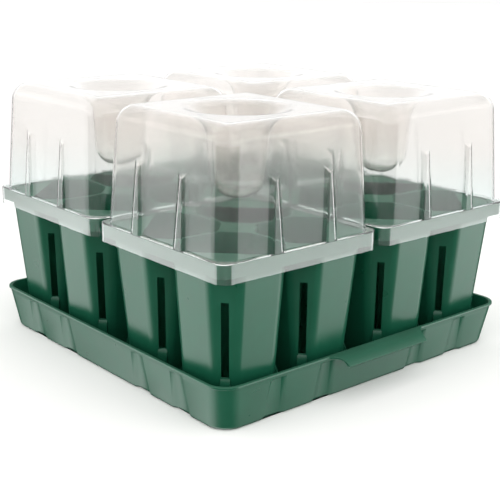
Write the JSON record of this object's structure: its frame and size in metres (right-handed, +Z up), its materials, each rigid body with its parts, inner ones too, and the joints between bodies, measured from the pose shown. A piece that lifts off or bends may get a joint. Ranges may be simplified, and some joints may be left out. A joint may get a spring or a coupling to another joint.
{
  "type": "humidity dome tray",
  "caption": "Shallow watering tray holding square blocks of tapered slotted cells, each block under its own clear ribbed lift-off humidity dome.",
  "frame": {"origin": "centre of the tray's underside, on the surface it stands on", "axes": "+Z up; +Y from the front finger tab to the back one; +X to the right seen from the front"},
  "size_m": [0.2636, 0.287, 0.1832],
  "materials": {
    "tray_green": "semi-gloss moulded polypropylene, dark green",
    "block_green": "semi-gloss moulded polypropylene, dark green",
    "dome_clear": "thin clear polypropylene with a slight milky haze"
  },
  "bodies": {
    "tray": {"tray": "tray_green"},
    "block_front_left": {"cell_block_front_left": "block_green"},
    "dome_front_left": {"dome_front_left": "dome_clear"},
    "block_front_right": {"cell_block_front_right": "block_green"},
    "dome_front_right": {"dome_front_right": "dome_clear"},
    "block_back_left": {"cell_block_back_left": "block_green"},
    "dome_back_left": {"dome_back_left": "dome_clear"},
    "block_back_right": {"cell_block_back_right": "block_green"},
    "dome_back_right": {"dome_back_right": "dome_clear"}
  },
  "joints": [
    {"name": "block_lift_front_left", "type": "slide", "parent": "tray", "child": "block_front_left", "axis": [0, 0, 1], "range_m": [0, 0.06]},
    {"name": "dome_lift_front_left", "type": "slide", "parent": "block_front_left", "child": "dome_front_left", "axis": [0, 0, 1], "range_m": [0, 0.08]},
    {"name": "block_lift_front_right", "type": "slide", "parent": "tray", "child": "block_front_right", "axis": [0, 0, 1], "range_m": [0, 0.06]},
    {"name": "dome_lift_front_right", "type": "slide", "parent": "block_front_right", "child": "dome_front_right", "axis": [0, 0, 1], "range_m": [0, 0.08]},
    {"name": "block_lift_back_left", "type": "slide", "parent": "tray", "child": "block_back_left", "axis": [0, 0, 1], "range_m": [0, 0.06]},
    {"name": "dome_lift_back_left", "type": "slide", "parent": "block_back_left", "child": "dome_back_left", "axis": [0, 0, 1], "range_m": [0, 0.08]},
    {"name": "block_lift_back_right", "type": "slide", "parent": "tray", "child": "block_back_right", "axis": [0, 0, 1], "range_m": [0, 0.06]},
    {"name": "dome_lift_back_right", "type": "slide", "parent": "block_back_right", "child": "dome_back_right", "axis": [0, 0, 1], "range_m": [0, 0.08]}
  ]
}
